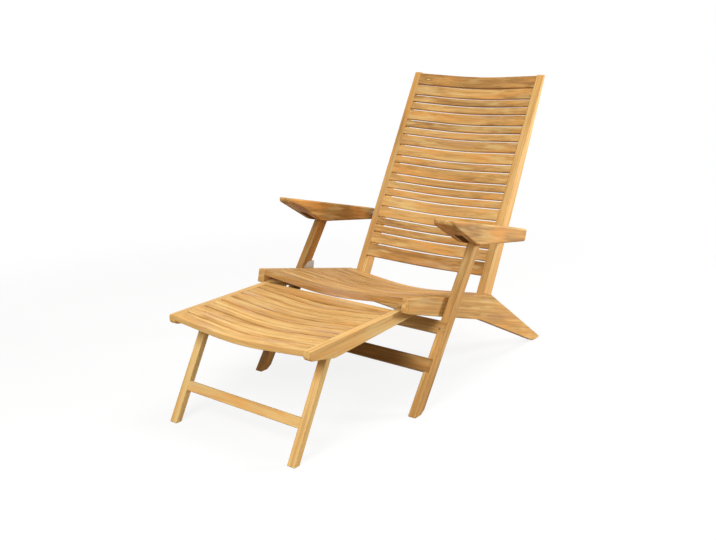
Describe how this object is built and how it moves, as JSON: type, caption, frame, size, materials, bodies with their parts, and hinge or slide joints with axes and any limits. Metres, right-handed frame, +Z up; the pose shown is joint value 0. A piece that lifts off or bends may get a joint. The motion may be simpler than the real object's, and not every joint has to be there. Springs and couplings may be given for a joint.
{
  "type": "steamer deck chair",
  "caption": "Reclining slatted hardwood steamer deck chair with sculpted armrests, tapering back stiles, bent seat rails and a hook-on footrest on folding legs.",
  "frame": {"origin": "floor level, at the middle of the footprint with the footrest hooked on", "axes": "+X across the chair to the sitter's left, +Y to the rear (the sitter faces -Y), +Z up"},
  "size_m": [0.7016, 1.377, 0.9865],
  "materials": {
    "wood_frame": "oiled hardwood, matt",
    "wood_slats": "oiled hardwood, matt",
    "wood_armrests": "oiled hardwood, satin",
    "metal": "brushed"
  },
  "bodies": {
    "seat_frame": {"footrest_hook_pins": "metal", "leg_stop_plates": "metal", "pivot_bolts": "metal", "pivot_washers": "metal", "seat_rail_left": "wood_frame", "seat_rail_right": "wood_frame", "seat_slat_01": "wood_slats", "seat_slat_02": "wood_slats", "seat_slat_03": "wood_slats", "seat_slat_04": "wood_slats", "seat_slat_05": "wood_slats", "seat_slat_06": "wood_slats", "seat_slat_07": "wood_slats", "seat_slat_08": "wood_slats", "seat_slat_09": "wood_slats", "seat_slat_10": "wood_slats", "seat_slat_11": "wood_slats", "seat_slat_12": "wood_slats"},
    "back": {"back_bottom_rail": "wood_frame", "back_slat_01": "wood_slats", "back_slat_02": "wood_slats", "back_slat_03": "wood_slats", "back_slat_04": "wood_slats", "back_slat_05": "wood_slats", "back_slat_06": "wood_slats", "back_slat_07": "wood_slats", "back_slat_08": "wood_slats", "back_slat_09": "wood_slats", "back_slat_10": "wood_slats", "back_slat_11": "wood_slats", "back_slat_12": "wood_slats", "back_slat_13": "wood_slats", "back_slat_14": "wood_slats", "back_slat_15": "wood_slats", "back_slat_16": "wood_slats", "back_slat_17": "wood_slats", "back_slat_18": "wood_slats", "back_stile_left": "wood_frame", "back_stile_right": "wood_frame", "back_top_rail": "wood_frame"},
    "armrest_pivots": {"armrest_bolts": "metal", "armrest_spacers": "metal"},
    "armrests": {"armrest_left": "wood_armrests", "armrest_right": "wood_armrests"},
    "front_legs": {"front_leg_left": "wood_frame", "front_leg_right": "wood_frame", "lower_stretcher": "wood_frame", "upper_stretcher": "wood_frame"},
    "footrest": {"footrest_front_board": "wood_slats", "footrest_leg_bolts": "metal", "footrest_leg_washers": "metal", "footrest_rail_left": "wood_frame", "footrest_rail_right": "wood_frame", "footrest_rear_rail": "wood_frame", "footrest_slats_medium": "wood_slats", "footrest_slats_narrow": "wood_slats", "footrest_slats_wide": "wood_slats"},
    "footrest_legs": {"footrest_leg_left": "wood_frame", "footrest_leg_right": "wood_frame", "footrest_stretcher": "wood_frame"}
  },
  "joints": [
    {"name": "back_recline", "type": "hinge", "parent": "seat_frame", "child": "back", "pos_m": [0, 0.28258, 0.22499], "axis": [-1, 0, 0], "range_deg": [0, 24]},
    {"name": "armrest_follow", "type": "hinge", "parent": "back", "child": "armrest_pivots", "pos_m": [0, 0.4022, 0.45598], "axis": [1, 0, 0], "range_deg": [0, 16.2]},
    {"name": "armrest_lift", "type": "hinge", "parent": "armrest_pivots", "child": "armrests", "pos_m": [0, 0.4022, 0.45598], "axis": [-1, 0, 0], "range_deg": [0, 90]},
    {"name": "front_leg_fold", "type": "hinge", "parent": "seat_frame", "child": "front_legs", "pos_m": [0, -0.00915, 0.29398], "axis": [1, 0, 0], "range_deg": [0, 63]},
    {"name": "footrest_tilt", "type": "hinge", "parent": "seat_frame", "child": "footrest", "pos_m": [0, -0.16682, 0.32008], "axis": [-1, 0, 0], "range_deg": [0, 12]},
    {"name": "footrest_leg_fold", "type": "hinge", "parent": "footrest", "child": "footrest_legs", "pos_m": [0, -0.52627, 0.29], "axis": [1, 0, 0], "range_deg": [0, 110]}
  ],
  "couplings": [
    {"joint": "armrest_follow", "follows": "back_recline", "ratio": 0.675},
    {"joint": "front_leg_fold", "follows": "armrest_lift", "ratio": 0.7}
  ]
}
